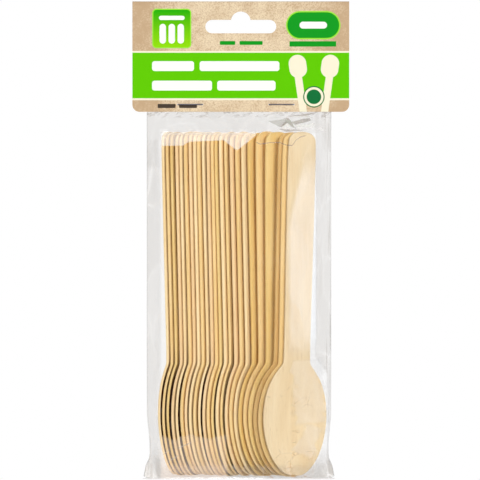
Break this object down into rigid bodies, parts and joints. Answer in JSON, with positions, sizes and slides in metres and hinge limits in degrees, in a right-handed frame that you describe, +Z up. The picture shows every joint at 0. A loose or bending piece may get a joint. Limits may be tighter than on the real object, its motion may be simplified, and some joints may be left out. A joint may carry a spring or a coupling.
{
  "type": "pack of wooden spoons",
  "caption": "Hanging pack of flat pressed wooden spoons in a clear film bag under a folded and stapled card header with a hang slot.",
  "frame": {"origin": "top of the bump in the hang slot, midway between the header card's two panels", "axes": "+X across the pack to the right seen from the front, +Y from the front to the back, +Z up along the spoons"},
  "size_m": [0.1012, 0.0366, 0.2228],
  "materials": {
    "kraft_card": "mottled kraft card with printed fields of green and white",
    "clear_film": "thin clear polypropylene film, glossy and lightly creased",
    "staple_wire": "bright galvanised wire",
    "birch": "bare pressed birch veneer, smooth and unvarnished"
  },
  "bodies": {
    "root": {"header_card": "kraft_card", "clear_bag": "clear_film", "staple_left": "staple_wire", "staple_right": "staple_wire", "spoon_01": "birch", "spoon_02": "birch", "spoon_03": "birch", "spoon_04": "birch", "spoon_05": "birch", "spoon_06": "birch", "spoon_07": "birch", "spoon_08": "birch", "spoon_09": "birch", "spoon_10": "birch", "spoon_11": "birch", "spoon_12": "birch", "spoon_13": "birch", "spoon_14": "birch", "spoon_15": "birch", "spoon_16": "birch", "spoon_17": "birch", "spoon_18": "birch", "spoon_19": "birch", "spoon_20": "birch", "spoon_21": "birch", "spoon_22": "birch", "spoon_23": "birch", "spoon_24": "birch"}
  },
  "joints": []
}
